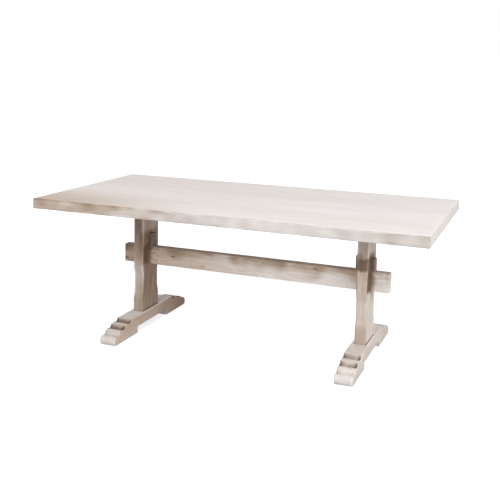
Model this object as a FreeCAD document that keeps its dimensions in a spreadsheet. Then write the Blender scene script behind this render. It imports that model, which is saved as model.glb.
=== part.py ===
import FreeCAD, Part
import math
import os
import re
import Sketcher
from FreeCAD import Vector

# Trestle dining table in solid wood. Millimetres, +X along the top, +Y to the back, +Z up,
# origin on the floor under the middle of the top.

SIZES = {
    # whole table
    "table_height": 762,
    "trestle_spacing": 1260,
    "joint_clearance": 0.3,
    "wood_arris": 2,
    # top
    "top_length": 2032,
    "top_width": 1016,
    "top_thickness": 55,
    "top_arris": 3,
    "board_count": 7,
    "spline_thickness": 12,
    "spline_width": 30,
    "spline_stop": 60,
    # bearers under the top
    "bearer_width": 70,
    "bearer_height": 60,
    "bearer_end_height": 36,
    "bearer_flat": 400,
    "bearer_overhang": 50,
    # posts
    "post_thickness": 57,
    "post_width": 178,
    "waist_inset": 10,
    "upper_curve_height": 64,
    "upper_curve_above_stretcher_bottom": 4,
    "base_height": 70,
    "base_curve_height": 54,
    "base_flare": 13,
    "tenon_thickness": 33,
    "tenon_width": 130,
    "tenon_end_gap": 2,
    "mortise_web": 5,
    # stretcher and the keys that lock it
    "stretcher_bottom_share": 0.4567,
    "stretcher_height": 101,
    "stretcher_thickness": 45,
    "stretcher_stub": 96,
    "notch_depth": 10,
    "key_thickness": 44,
    "key_inner_stand": 22,
    "key_outer_stand": 20,
    "key_outer_height": 66,
    "key_taper": 8,
    "key_corner": 10,
    # feet, with the runs and drops of their carved ends
    "foot_length": 820,
    "foot_width": 90,
    "foot_height": 92,
    "foot_relief": 34,
    "pad_length": 242,
    "cove_run": 26,
    "cove_drop": 12,
    "tread_run": 38,
    "tread_fall": 3,
    "lobe_run": 30,
    "lobe_fall": 8,
    "nose_run": 25,
    "nose_drop": 26,
    "toe_undercut": 8,
    # lag screws and washers
    "screw_diameter": 8,
    "screw_tip": 8,
    "head_across_flats": 13,
    "head_height": 5.5,
    "washer_diameter": 16,
    "washer_thickness": 1.6,
    "recess_clearance": 2,
    "recess_depth": 8,
    "slot_travel": 6,
    "top_screw_length": 62,
    "top_bite_share": 0.62,
    "tenon_screw_length": 58,
    "tenon_screw_spacing": 70,
}

TOLERANCE = 0.01

# Lengths that several pieces share, as formulas of the sizes

BOARD_WIDTH = "(top_width / board_count)"
TOP_UNDERSIDE = "(table_height - top_thickness)"
TOP_MIDDLE = "(table_height - top_thickness / 2)"
BEARER_UNDERSIDE = f"({TOP_UNDERSIDE} - bearer_height)"
STRETCHER_BOTTOM = "(table_height * stretcher_bottom_share)"
STRETCHER_TOP = f"({STRETCHER_BOTTOM} + stretcher_height)"
MORTISE_SILL = f"({STRETCHER_BOTTOM} + notch_depth)"
FULL_CLEARANCE = "(joint_clearance * 2)"
RECESS_DIAMETER = "(washer_diameter + recess_clearance * 2)"
SHANK_HOLE_DIAMETER = f"(screw_diameter + {FULL_CLEARANCE})"
FOOT_MORTISE_DEPTH = "(foot_height - foot_relief - recess_depth - mortise_web)"
BEARER_MORTISE_DEPTH = "(bearer_height - recess_depth - mortise_web)"
LOWER_TENON = f"({FOOT_MORTISE_DEPTH} - tenon_end_gap)"
UPPER_TENON = f"({BEARER_MORTISE_DEPTH} - tenon_end_gap)"
FOOT_SCREW_SEAT = "(foot_relief + recess_depth)"
BEARER_SCREW_SEAT = f"({TOP_UNDERSIDE} - recess_depth)"
TOP_SCREW_BITE = "(top_thickness * top_bite_share)"
TOP_SCREW_SEAT = f"({TOP_UNDERSIDE} + {TOP_SCREW_BITE} - top_screw_length + washer_thickness)"
KEY_LENGTH = "(post_thickness + key_inner_stand + key_outer_stand)"

TRESTLES = {"left": "(-trestle_spacing / 2)", "right": "(trestle_spacing / 2)"}
TENON_SCREW_ROWS = ["(-tenon_screw_spacing / 2)", "(tenon_screw_spacing / 2)"]

doc = FreeCAD.newDocument("DiningTable")
sheet = doc.addObject("Spreadsheet::Sheet", "Sizes")
parts = []


def fill_sheet():
    """One row per size: its name, and its value with that name as its alias."""
    for row, (name, number) in enumerate(SIZES.items(), start=1):
        sheet.set(f"A{row}", name)
        sheet.set(f"B{row}", str(number))
        sheet.setAlias(f"B{row}", name)
    doc.recompute()


def formula(text):
    """The text with the sheet's name put before the name of each size."""
    return re.sub(r"[a-z_]+", lambda word: ("Sizes." if word.group() in SIZES else "") + word.group(), text)


def size(text):
    """The value of a formula, as a number."""
    return float(sheet.evalExpression(formula(text)))


def tangent_radius(ahead, across):
    """The radius of an arc that ends this far ahead of its start and this far to the side."""
    return f"(({ahead} ^ 2 + {across} ^ 2) / (2 * {across}))"


# Bodies, sketches and features

def new_body(label):
    """A body with its own label, which also names its file."""
    body = doc.addObject("PartDesign::Body", label)
    body.Label = label
    parts.append(body)
    return body


def add_group(label, solids):
    """Several like solids as one piece."""
    group = doc.addObject("Part::Feature", label)
    group.Label = label
    group.Shape = Part.makeCompound(solids)
    group.Placement = FreeCAD.Placement()
    parts.append(group)


def new_sketch(body, name, plane, offset="0"):
    """A sketch on one of the body's own origin planes, moved along that plane's normal."""
    sketch = body.newObject("Sketcher::SketchObject", f"{body.Label}_{name}")
    support = [feature for feature in body.Origin.OriginFeatures if feature.Role == plane][0]
    sketch.AttachmentSupport = [(support, "")]
    sketch.MapMode = "FlatFace"
    sketch.setExpression("AttachmentOffset.Base.z", formula(offset))
    return sketch


def bind(sketch, kind, *geometry, text):
    """One dimension of a sketch, tied to a formula of the sheet."""
    index = sketch.addConstraint(Sketcher.Constraint(kind, *geometry, size(text)))
    sketch.setExpression(f"Constraints[{index}]", formula(text))


def make_side(start, end, radius, bulge):
    """One side of an outline: straight, or an arc that bulges to the left or right of its way."""
    if radius is None:
        return Part.LineSegment(start, end)
    chord = end - start
    left = Vector(-chord.y, chord.x, 0).normalize()
    reach = size(radius)
    rise = reach - math.sqrt(reach ** 2 - (chord.Length / 2) ** 2)
    return Part.Arc(start, (start + end) / 2 + left * (rise if bulge == "left" else -rise), end)


def end_of(sketch, geometry, place):
    """Which end of a side lies at a place: 1 is its start and 2 its end."""
    start = sketch.getPoint(geometry, 1)
    end = sketch.getPoint(geometry, 2)
    return 1 if start.distanceToPoint(place) <= end.distanceToPoint(place) else 2


def outline(sketch, corners):
    """A closed outline. A corner is two formulas, then the radius and bulge of a curve that leaves it."""
    corners = [corner if len(corner) == 4 else (*corner, None, None) for corner in corners]
    places = [Vector(size(across), size(up), 0) for across, up, _, _ in corners]
    count = len(corners)
    first = sketch.GeometryCount
    for index, (_, _, radius, bulge) in enumerate(corners):
        sketch.addGeometry(make_side(places[index], places[(index + 1) % count], radius, bulge), False)
    for index, (across, up, _, _) in enumerate(corners):
        side = first + index
        side_before = first + (index - 1) % count
        start = end_of(sketch, side, places[index])
        end_before = end_of(sketch, side_before, places[index])
        sketch.addConstraint(Sketcher.Constraint("Coincident", side_before, end_before, side, start))
        bind(sketch, "DistanceX", side, start, text=across)
        bind(sketch, "DistanceY", side, start, text=up)
    for index, (_, _, radius, _) in enumerate(corners):
        if radius is not None:
            bind(sketch, "Radius", first + index, text=radius)


def rectangle(sketch, low_across, high_across, low_up, high_up):
    outline(sketch, [
        (low_across, low_up),
        (high_across, low_up),
        (high_across, high_up),
        (low_across, high_up),
    ])


def circle(sketch, across, up, diameter):
    radius = f"{diameter} / 2"
    centre = Vector(size(across), size(up), 0)
    index = sketch.addGeometry(Part.Circle(centre, Vector(0, 0, 1), size(radius)), False)
    bind(sketch, "DistanceX", index, 3, text=across)
    bind(sketch, "DistanceY", index, 3, text=up)
    bind(sketch, "Radius", index, text=radius)


def slot(sketch, across, up, width, travel):
    """A slot along the sketch's second axis, each round end drawn as two quarter circles."""
    radius = f"{width} / 2"
    low = f"{up} - {travel} / 2"
    high = f"{up} + {travel} / 2"
    outline(sketch, [
        (f"{across} + {radius}", low),
        (f"{across} + {radius}", high, radius, "right"),
        (across, f"{high} + {radius}", radius, "right"),
        (f"{across} - {radius}", high),
        (f"{across} - {radius}", low, radius, "right"),
        (across, f"{low} - {radius}", radius, "right"),
    ])


def finish(body, feature, volume_before, grows):
    """The feature has to be valid, and to add or take away wood as it should."""
    doc.recompute()
    change = body.Shape.Volume - volume_before
    if "Invalid" in feature.State or (change <= 0 if grows else change >= 0):
        raise RuntimeError(f"{feature.Label} changes the body by {change:.1f} cubic mm")


def extrude(kind, body, sketch, length, way, reverse):
    """A sketch pushed out or cut away: to both sides of its plane, or to one side."""
    volume_before = body.Shape.Volume if body.Tip else 0
    feature = body.newObject(f"PartDesign::{kind}", f"{sketch.Name}_{kind.lower()}")
    feature.Profile = sketch
    feature.SideType = way
    feature.Reversed = reverse
    feature.setExpression("Length", formula(length))
    finish(body, feature, volume_before, kind == "Pad")


def pad_both_ways(body, sketch, length):
    extrude("Pad", body, sketch, length, "Symmetric", False)


def pad_up(body, sketch, length):
    extrude("Pad", body, sketch, length, "One side", False)


def pad_down(body, sketch, length):
    extrude("Pad", body, sketch, length, "One side", True)


def cut_both_ways(body, sketch, length):
    extrude("Pocket", body, sketch, length, "Symmetric", False)


def cut_down(body, sketch, length):
    extrude("Pocket", body, sketch, length, "One side", False)


def cut_up(body, sketch, length):
    extrude("Pocket", body, sketch, length, "One side", True)


def ease(body, amount, wanted):
    """Small chamfers along the edges that a test picks."""
    volume_before = body.Shape.Volume
    base = body.Tip
    names = [f"Edge{number}" for number, edge in enumerate(base.Shape.Edges, start=1) if wanted(edge)]
    feature = body.newObject("PartDesign::Chamfer", f"{body.Label}_arris")
    feature.Base = (base, names)
    feature.setExpression("Size", formula(amount))
    finish(body, feature, volume_before, False)


def lies_at(edge, axis, *levels):
    """Whether an edge lies all along at one of these values of X, Y or Z."""
    low = getattr(edge.BoundBox, axis + "Min")
    high = getattr(edge.BoundBox, axis + "Max")
    return any(abs(low - level) < TOLERANCE and abs(high - level) < TOLERANCE for level in levels)


def ease_wide_faces(body, place, thickness, untouched):
    """The arrises round the two wide faces of an upright board, but for those at the untouched heights."""
    faces = [size(f"{place} - {thickness} / 2"), size(f"{place} + {thickness} / 2")]
    kept = [size(level) for level in untouched]
    ease(body, "wood_arris", lambda edge: lies_at(edge, "X", *faces) and not lies_at(edge, "Z", *kept))


# Top: boards glued edge to edge, with loose tongues between them

def board_edge(number):
    """The y of the front edge of a board, counted from 0 at the front."""
    return f"({BOARD_WIDTH} * {number} - top_width / 2)"


def board_middle(number):
    return f"({board_edge(number)} + {BOARD_WIDTH} / 2)"


def screwed_boards():
    """The second and third board from each side, which the bearers hold."""
    count = int(size("board_count"))
    return [1, 2, count - 3, count - 2]


def make_top_board(number):
    body = new_body(f"top_board_{number + 1}")
    section = new_sketch(body, "section", "YZ_Plane")
    rectangle(section, board_edge(number), board_edge(number + 1), TOP_UNDERSIDE, "table_height")
    pad_both_ways(body, section, "top_length")
    for joint in (number, number + 1):
        if 0 < joint < int(size("board_count")):
            cut_spline_groove(body, joint)
    heights = [size(TOP_UNDERSIDE), size("table_height")]
    ends = [-size("top_length / 2"), size("top_length / 2")]
    sides = [-size("top_width / 2"), size("top_width / 2")]
    ease(body, "top_arris", lambda edge: (
        lies_at(edge, "Z", *heights) and (lies_at(edge, "X", *ends) or lies_at(edge, "Y", *sides))))
    if number in screwed_boards():
        pilots = new_sketch(body, "pilots", "XY_Plane", TOP_UNDERSIDE)
        for place in TRESTLES.values():
            circle(pilots, place, board_middle(number), "screw_diameter")
        cut_up(body, pilots, f"{TOP_SCREW_BITE} + joint_clearance")


def cut_spline_groove(body, joint):
    """A stopped groove for the tongue at one joint between boards."""
    groove = new_sketch(body, f"groove_{joint}", "XZ_Plane", f"-{board_edge(joint)}")
    reach = "(top_length / 2 - spline_stop + joint_clearance)"
    half = "(spline_thickness / 2 + joint_clearance)"
    rectangle(groove, f"-{reach}", reach, f"{TOP_MIDDLE} - {half}", f"{TOP_MIDDLE} + {half}")
    cut_both_ways(body, groove, f"spline_width + {FULL_CLEARANCE}")


def make_splines():
    length = size("top_length - spline_stop * 2")
    width = size("spline_width")
    thickness = size("spline_thickness")
    base = size(TOP_MIDDLE) - thickness / 2
    tongues = []
    for joint in range(1, int(size("board_count"))):
        corner = Vector(-length / 2, size(board_edge(joint)) - width / 2, base)
        tongues.append(Part.makeBox(length, width, thickness, corner))
    add_group("board_splines", tongues)


# Bearers: across under the top, mortised for the posts and slotted for the top's screws

def make_bearer(name, place):
    body = new_body(f"{name}_bearer")
    half_length = f"(-{board_middle(1)} + bearer_overhang)"
    end_bottom = f"{TOP_UNDERSIDE} - bearer_end_height"
    profile = new_sketch(body, "profile", "YZ_Plane", place)
    outline(profile, [
        (half_length, TOP_UNDERSIDE),
        (f"-{half_length}", TOP_UNDERSIDE),
        (f"-{half_length}", end_bottom),
        ("-bearer_flat / 2", BEARER_UNDERSIDE),
        ("bearer_flat / 2", BEARER_UNDERSIDE),
        (half_length, end_bottom),
    ])
    pad_both_ways(body, profile, "bearer_width")
    ease_wide_faces(body, place, "bearer_width", [TOP_UNDERSIDE])
    mortise = new_sketch(body, "mortise", "XY_Plane", BEARER_UNDERSIDE)
    draw_tenon(mortise, place, FULL_CLEARANCE)
    cut_up(body, mortise, BEARER_MORTISE_DEPTH)
    recesses = new_sketch(body, "recesses", "XY_Plane", TOP_UNDERSIDE)
    holes = new_sketch(body, "holes", "XY_Plane", TOP_UNDERSIDE)
    for row in TENON_SCREW_ROWS:
        circle(recesses, place, row, RECESS_DIAMETER)
        circle(holes, place, row, SHANK_HOLE_DIAMETER)
    cut_down(body, recesses, "recess_depth")
    cut_down(body, holes, "bearer_height")
    head_slots = new_sketch(body, "head_slots", "XY_Plane", TOP_SCREW_SEAT)
    shank_slots = new_sketch(body, "shank_slots", "XY_Plane", TOP_UNDERSIDE)
    for number in screwed_boards():
        slot(head_slots, place, board_middle(number), RECESS_DIAMETER, "slot_travel")
        slot(shank_slots, place, board_middle(number), SHANK_HOLE_DIAMETER, "slot_travel")
    cut_down(body, head_slots, "bearer_height")
    cut_down(body, shank_slots, "bearer_height")


# Posts: waisted boards, tenoned at both ends, with a mortise for the stretcher and its key

def draw_tenon(sketch, place, clearance="0"):
    """The section of a tenon, or of its mortise with the clearance added."""
    left = f"{place} - (tenon_thickness + {clearance}) / 2"
    right = f"{place} + (tenon_thickness + {clearance}) / 2"
    half_width = f"(tenon_width + {clearance}) / 2"
    rectangle(sketch, left, right, f"-{half_width}", half_width)


def post_side():
    """One edge of a post, going up: a straight base, a double curve in to the waist, and one out again."""
    waist = "(post_width / 2 - waist_inset)"
    base_top = "(foot_height + base_height)"
    base_radius = tangent_radius("(base_curve_height / 2)", "(base_flare / 2)")
    upper_top = f"({STRETCHER_BOTTOM} + upper_curve_above_stretcher_bottom)"
    upper_radius = tangent_radius("(upper_curve_height / 2)", "(waist_inset / 2)")
    return [
        (f"{waist} + base_flare", "foot_height"),
        (f"{waist} + base_flare", base_top, base_radius, "right"),
        (f"{waist} + base_flare / 2", f"{base_top} + base_curve_height / 2", base_radius, "left"),
        (waist, f"{base_top} + base_curve_height"),
        (waist, f"{upper_top} - upper_curve_height", upper_radius, "left"),
        (f"{waist} + waist_inset / 2", f"{upper_top} - upper_curve_height / 2", upper_radius, "right"),
        ("post_width / 2", upper_top),
        ("post_width / 2", BEARER_UNDERSIDE),
    ]


def both_sides(corners):
    """The corners, then their mirror image run the other way, each arc given to the corner it now leaves."""
    mirrored = []
    for index in range(len(corners) - 1, -1, -1):
        arc = corners[index - 1][2:] if index > 0 else ()
        mirrored.append((f"-({corners[index][0]})", corners[index][1], *arc))
    return corners + mirrored


def make_post(name, place, outward):
    body = new_body(f"{name}_post")
    profile = new_sketch(body, "profile", "YZ_Plane", place)
    outline(profile, both_sides(post_side()))
    pad_both_ways(body, profile, "post_thickness")
    ease_wide_faces(body, place, "post_thickness", ["foot_height", BEARER_UNDERSIDE])
    lower_tenon = new_sketch(body, "lower_tenon", "XY_Plane", "foot_height")
    draw_tenon(lower_tenon, place)
    pad_down(body, lower_tenon, LOWER_TENON)
    upper_tenon = new_sketch(body, "upper_tenon", "XY_Plane", BEARER_UNDERSIDE)
    draw_tenon(upper_tenon, place)
    pad_up(body, upper_tenon, UPPER_TENON)
    mortise = new_sketch(body, "mortise", "XZ_Plane")
    outline(mortise, [
        (f"{place} - post_thickness / 2", MORTISE_SILL),
        (f"{place} + post_thickness / 2", MORTISE_SILL),
        (f"{place} + post_thickness / 2", key_top_at_face(outward > 0)),
        (f"{place} - post_thickness / 2", key_top_at_face(outward < 0)),
    ])
    cut_both_ways(body, mortise, f"stretcher_thickness + {FULL_CLEARANCE}")
    lower_end = f"(foot_height - {LOWER_TENON})"
    upper_end = f"({BEARER_UNDERSIDE} + {UPPER_TENON})"
    reach = "tenon_screw_length - washer_thickness + joint_clearance"
    lower_pilots = new_sketch(body, "lower_pilots", "XY_Plane", lower_end)
    upper_pilots = new_sketch(body, "upper_pilots", "XY_Plane", upper_end)
    for row in TENON_SCREW_ROWS:
        circle(lower_pilots, place, row, "screw_diameter")
        circle(upper_pilots, place, row, "screw_diameter")
    cut_up(body, lower_pilots, f"{FOOT_SCREW_SEAT} + {reach} - {lower_end}")
    cut_down(body, upper_pilots, f"{upper_end} + {reach} - {BEARER_SCREW_SEAT}")


# Feet: runners with a relieved underside and ends carved in coves

def carved_steps():
    """The carving from the flat top outwards: run, drop, radius and bulge of each step."""
    cove = ("cove_run", "cove_drop", tangent_radius("cove_drop", "cove_run"), "left")
    tread = ("tread_run", "tread_fall", None, None)
    lobe = ("lobe_run", "lobe_fall", tangent_radius("lobe_run", "lobe_fall"), "right")
    nose = ("nose_run", "nose_drop", tangent_radius("nose_drop", "nose_run"), "right")
    return [cove, tread, cove, lobe, cove, nose]


def foot_side():
    """One end of a foot, from the arch's top round the pad and nose and up the carving to the flat top."""
    steps = carved_steps()
    carved_drop = " + ".join(drop for _, drop, _, _ in steps)
    across = "foot_length / 2"
    up = f"(foot_height - ({carved_drop}))"
    corners = [
        ("foot_length / 2 - pad_length", "foot_relief", None, None),
        ("foot_length / 2 - pad_length", "0", None, None),
        ("foot_length / 2 - toe_undercut", "0", tangent_radius(up, "toe_undercut"), "right"),
    ]
    for run, drop, radius, bulge in reversed(steps):
        corners.append((across, up, radius, bulge))
        across = f"{across} - {run}"
        up = f"{up} + {drop}"
    corners.append((across, up, None, None))
    return corners


def make_foot(name, place):
    body = new_body(f"{name}_foot")
    profile = new_sketch(body, "profile", "YZ_Plane", place)
    outline(profile, both_sides(foot_side()))
    pad_both_ways(body, profile, "foot_width")
    ease_wide_faces(body, place, "foot_width", ["0"])
    mortise = new_sketch(body, "mortise", "XY_Plane", "foot_height")
    draw_tenon(mortise, place, FULL_CLEARANCE)
    cut_down(body, mortise, FOOT_MORTISE_DEPTH)
    recesses = new_sketch(body, "recesses", "XY_Plane", "foot_relief")
    holes = new_sketch(body, "holes", "XY_Plane", "foot_relief")
    for row in TENON_SCREW_ROWS:
        circle(recesses, place, row, RECESS_DIAMETER)
        circle(holes, place, row, SHANK_HOLE_DIAMETER)
    cut_up(body, recesses, "recess_depth")
    cut_up(body, holes, "foot_height - foot_relief")


# Stretcher through both posts, and the keys that lock it down

def make_stretcher():
    body = new_body("stretcher")
    end = "(trestle_spacing / 2 + post_thickness / 2 + stretcher_stub)"
    corners = [(f"-{end}", STRETCHER_TOP), (f"-{end}", STRETCHER_BOTTOM)]
    for place in TRESTLES.values():
        left = f"{place} - post_thickness / 2 - joint_clearance"
        right = f"{place} + post_thickness / 2 + joint_clearance"
        corners.append((left, STRETCHER_BOTTOM))
        corners.append((left, MORTISE_SILL))
        corners.append((right, MORTISE_SILL))
        corners.append((right, STRETCHER_BOTTOM))
    corners.append((end, STRETCHER_BOTTOM))
    corners.append((end, STRETCHER_TOP))
    profile = new_sketch(body, "profile", "XZ_Plane")
    outline(profile, corners)
    pad_both_ways(body, profile, "stretcher_thickness")
    faces = [-size("stretcher_thickness / 2"), size("stretcher_thickness / 2")]
    heights = [size(STRETCHER_BOTTOM), size(STRETCHER_TOP)]
    ends = [-size(end), size(end)]
    ease(body, "wood_arris", lambda edge: (
        lies_at(edge, "Z", *heights) and lies_at(edge, "Y", *faces) or lies_at(edge, "X", *ends)))


def key_top_at(inward_run):
    """The height of a key's sloping top at a distance in from its outer end."""
    return f"({STRETCHER_TOP} + key_outer_height + key_taper * {inward_run} / {KEY_LENGTH})"


def key_top_at_face(outer):
    """The height of a key's top where it passes its post's outer or inner face."""
    return key_top_at("key_outer_stand") if outer else key_top_at("(key_outer_stand + post_thickness)")


def make_key(name, place, outward):
    """A tapered key on top of the stretcher, higher at its inner end, from where it is driven outwards."""
    body = new_body(f"{name}_key")
    way = "" if outward > 0 else "-"
    outer = f"{place} + {way}(post_thickness / 2 + key_outer_stand)"
    round_start = f"{place} + {way}(post_thickness / 2 + key_outer_stand - key_corner)"
    inner = f"{place} - {way}(post_thickness / 2 + key_inner_stand)"
    shoulder = key_top_at("key_corner")
    profile = new_sketch(body, "profile", "XZ_Plane")
    outline(profile, [
        (inner, STRETCHER_TOP),
        (outer, STRETCHER_TOP),
        (outer, f"{shoulder} - key_corner", "key_corner", "right" if outward > 0 else "left"),
        (round_start, shoulder),
        (inner, key_top_at(KEY_LENGTH)),
    ])
    pad_both_ways(body, profile, "key_thickness")


# Lag screws and washers

def make_lag_screw(length):
    """A hexagon-headed lag screw, point up, with the underside of its head at the origin."""
    radius = size("screw_diameter / 2")
    tip = size("screw_tip")
    corner_radius = size("head_across_flats / 2 / cos(30 deg)")
    turns = [math.radians(60 * index) for index in range(7)]
    corners = [Vector(math.cos(turn), math.sin(turn), 0) * corner_radius for turn in turns]
    head = Part.Face(Part.makePolygon(corners)).extrude(Vector(0, 0, -size("head_height")))
    shank = Part.makeCylinder(radius, length - tip)
    point = Part.makeCone(radius, 0, tip, Vector(0, 0, length - tip))
    return head.fuse([shank, point]).removeSplitter()


def make_washer():
    """A plain washer lying on top of the origin."""
    thickness = size("washer_thickness")
    disc = Part.makeCylinder(size("washer_diameter / 2"), thickness)
    return disc.cut(Part.makeCylinder(size(f"{SHANK_HOLE_DIAMETER} / 2"), thickness))


def set_at(shape, x, y, z, point_down=False):
    """A copy of a shape at a place, turned over where it points down."""
    copy = shape.copy()
    if point_down:
        copy.rotate(Vector(0, 0, 0), Vector(1, 0, 0), 180)
    copy.translate(Vector(x, y, z))
    return copy


def make_fasteners():
    """Every screw, each with a washer between its head and the wood."""
    top_screw = make_lag_screw(size("top_screw_length"))
    tenon_screw = make_lag_screw(size("tenon_screw_length"))
    washer = make_washer()
    under_bearer = size(f"{TOP_SCREW_SEAT} - washer_thickness")
    under_foot = size(f"{FOOT_SCREW_SEAT} - washer_thickness")
    over_bearer = size(f"{BEARER_SCREW_SEAT} + washer_thickness")
    top_screws = []
    tenon_screws = []
    washers = []
    for x in [size(place) for place in TRESTLES.values()]:
        for y in [size(board_middle(number)) for number in screwed_boards()]:
            top_screws.append(set_at(top_screw, x, y, under_bearer))
            washers.append(set_at(washer, x, y, under_bearer))
        for y in [size(row) for row in TENON_SCREW_ROWS]:
            tenon_screws.append(set_at(tenon_screw, x, y, under_foot))
            washers.append(set_at(washer, x, y, under_foot))
            tenon_screws.append(set_at(tenon_screw, x, y, over_bearer, point_down=True))
            washers.append(set_at(washer, x, y, over_bearer, point_down=True))
    add_group("top_screws", top_screws)
    add_group("tenon_screws", tenon_screws)
    add_group("washers", washers)


def make_table():
    fill_sheet()
    for number in range(int(size("board_count"))):
        make_top_board(number)
    make_splines()
    for (name, place), outward in zip(TRESTLES.items(), (-1, 1)):
        make_bearer(name, place)
        make_post(name, place, outward)
        make_foot(name, place)
        make_key(name, place, outward)
    make_stretcher()
    make_fasteners()


def check_document():
    """Every object is up to date, and every piece is valid: one solid in a body, several in a group."""
    doc.recompute()
    for item in doc.Objects:
        if "Invalid" in item.State or "Error" in item.State:
            raise RuntimeError(f"{item.Label} is {item.State}")
    for part in parts:
        if part.Shape.isNull() or not part.Shape.isValid() or not part.Shape.Solids:
            raise RuntimeError(f"{part.Label} has no valid solid")
        if part.isDerivedFrom("PartDesign::Body") and len(part.Shape.Solids) != 1:
            raise RuntimeError(f"{part.Label} is not one solid")


def write_parts():
    os.makedirs("parts", exist_ok=True)
    for part in parts:
        part.Shape.exportStep(f"parts/{part.Label}.step")
        print(f"{part.Label}: solids {len(part.Shape.Solids)}, volume {part.Shape.Volume:.0f}")


make_table()
check_document()
write_parts()
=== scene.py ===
import bmesh
import bpy
import math
from mathutils import Matrix, Vector, kdtree, noise


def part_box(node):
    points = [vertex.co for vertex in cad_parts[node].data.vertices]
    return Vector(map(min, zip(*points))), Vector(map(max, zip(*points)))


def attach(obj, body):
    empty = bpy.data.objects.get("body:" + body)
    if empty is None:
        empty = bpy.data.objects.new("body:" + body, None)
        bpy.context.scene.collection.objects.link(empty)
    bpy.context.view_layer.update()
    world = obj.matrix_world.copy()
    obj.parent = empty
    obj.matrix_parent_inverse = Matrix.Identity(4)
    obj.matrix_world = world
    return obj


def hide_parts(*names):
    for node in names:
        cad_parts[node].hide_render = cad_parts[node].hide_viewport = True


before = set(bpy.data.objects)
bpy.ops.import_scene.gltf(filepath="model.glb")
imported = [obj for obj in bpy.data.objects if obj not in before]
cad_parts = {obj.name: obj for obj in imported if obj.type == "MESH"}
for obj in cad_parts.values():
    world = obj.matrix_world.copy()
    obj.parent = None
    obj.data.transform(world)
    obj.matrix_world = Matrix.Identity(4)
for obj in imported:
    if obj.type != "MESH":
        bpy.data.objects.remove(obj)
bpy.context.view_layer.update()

# Metres, in the frame of the solids: +X along the top, +Y to the back, +Z up, floor at z = 0

X_AXIS, Y_AXIS, Z_AXIS = range(3)
WELD = 0.00001
ON_LINE = WELD * 10
FLAT_BELOW = math.radians(0.5)
SHARP_ABOVE = math.radians(20)
SMOOTH_BELOW = math.radians(32)

# Wear: the wood that is gone from an edge, and how far the worn look reaches from it

EDGE_LOSS = 0.0009
TOP_EDGE_LOSS = 0.0012
EDGE_BAND = 0.008
SWELLS_PER_METRE = 14.0
NICKS_PER_METRE = 55.0
CHIPS_PER_METRE = 23.0
CHIPS_ABOVE = 0.38

# Colours as linear light: the wood from bare and dark to fully limewashed, and the other finishes

WOOD_TONES = (
    (0.00, (0.100, 0.066, 0.045)),
    (0.30, (0.225, 0.158, 0.112)),
    (0.60, (0.460, 0.368, 0.298)),
    (0.80, (0.665, 0.590, 0.528)),
    (1.00, (0.868, 0.819, 0.793)),
)
DARK_STAIN = (0.165, 0.117, 0.087)
STAIN_LIGHT = (0.335, 0.250, 0.196)
PLANED_WOOD = (0.46, 0.32, 0.20)
PLANED_STREAK = (0.33, 0.22, 0.13)
ZINC = (0.55, 0.55, 0.53)
ZINC_DULL = (0.38, 0.38, 0.37)

# Figure: how many features there are in a metre along the grain, and across it both ways

FIBRE_SCALE = (9.0, 300.0, 300.0)
STREAK_SCALE = (1.5, 34.0, 34.0)
CLOUD_SCALE = (2.2, 7.0, 7.0)
TINT_SCALE = (1.3, 3.1, 3.1)
WAVER_SCALE = (0.8, 4.0, 4.0)
KNOT_SCALE = (1.5, 5.0, 5.0)
PIN_KNOT_SCALE = (8.0, 24.0, 24.0)
WASH_LINE_SCALE = (9.0, 26.0, 26.0)
WASH_AREA_SCALE = (5.0, 16.0, 16.0)
KEY_STREAK_SCALE = (9.0, 120.0, 120.0)
KEY_CLOUD_SCALE = (14.0, 22.0, 22.0)
PLANED_STREAK_SCALE = (2.0, 90.0, 90.0)
ZINC_SPOT_SCALE = (190.0, 190.0, 190.0)
KNOT_RADIUS = 0.13
YEAR_WIDTH = 0.008

# What each thing adds to the wash, or takes from it

PATCH_SHARE = 0.9
FIBRE_SHARE = 0.16
TONE_SHARE = 0.02
# The stain attribute darkens the wash by glaze and painted shade, and lightens it where it holds painted
# light
STAIN_AND_PAINTED_LIGHT_SHARE = -0.62
PIN_KNOT_SHARE = -0.4

# A hue of a half is the colour's own, and the washed wood wanders a little from it both ways

OWN_HUE = 0.5
HUE_WANDER = 0.006

# Where in the wood the pieces are cut: boards up to this far apart, each trestle from its own place

NO_SHIFT = (0.0, 0.0, 0.0)
BOARD_SPREAD = (7.0, 0.0, 0.4)
TRESTLE_WOOD = {"left": 0.68, "right": 0.83}

# Studio

WORLD_LIGHT = 0.42
FLOOR_COLOUR = (0.66, 0.66, 0.66)
FLOOR_HALF_WIDTH = 30.0
FLOOR_DROP = 0.0005
FLOOR_GLOW_NEAR = 0.72
FLOOR_GLOW_FAR = 1.0
WHITE_FROM = 1.7
WHITE_BY = 3.2
TABLE_MIDDLE = Vector((0.0, 0.0, 0.5))
SOFTBOX_DISTANCE = 6.0

# The photograph's camera, found from the table's edges

CAMERA_PLACE = Vector((1.4859, -3.8271, 1.4764))
CAMERA_YAW = -0.37372
CAMERA_PITCH = 0.09737
CAMERA_ROLL = 0.01946
CAMERA_LENS = 56.39
CAMERA_SENSOR = 36.0
CAMERA_SHIFT = -0.22


# Node helpers

def link_or_set(tree, socket, value):
    if isinstance(value, bpy.types.NodeSocket):
        tree.links.new(value, socket)
    else:
        socket.default_value = value


def add_node(tree, kind, inputs=(), **settings):
    """A node with its settings, and with values or other nodes' sockets on its inputs."""
    node = tree.nodes.new(kind)
    for name, value in settings.items():
        setattr(node, name, value)
    for name, value in dict(inputs).items():
        link_or_set(tree, node.inputs[name], value)
    return node


def calc(tree, operation, first, second=0.0, third=0.0):
    node = add_node(tree, "ShaderNodeMath", {0: first, 1: second, 2: third}, operation=operation)
    return node.outputs[0]


def add_share(tree, total, part, weight, middle=0.0):
    """The total plus a weighted part, which adds nothing where it is at its middle."""
    shifted = calc(tree, "SUBTRACT", part, middle) if middle else part
    return calc(tree, "MULTIPLY_ADD", shifted, weight, total)


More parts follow.
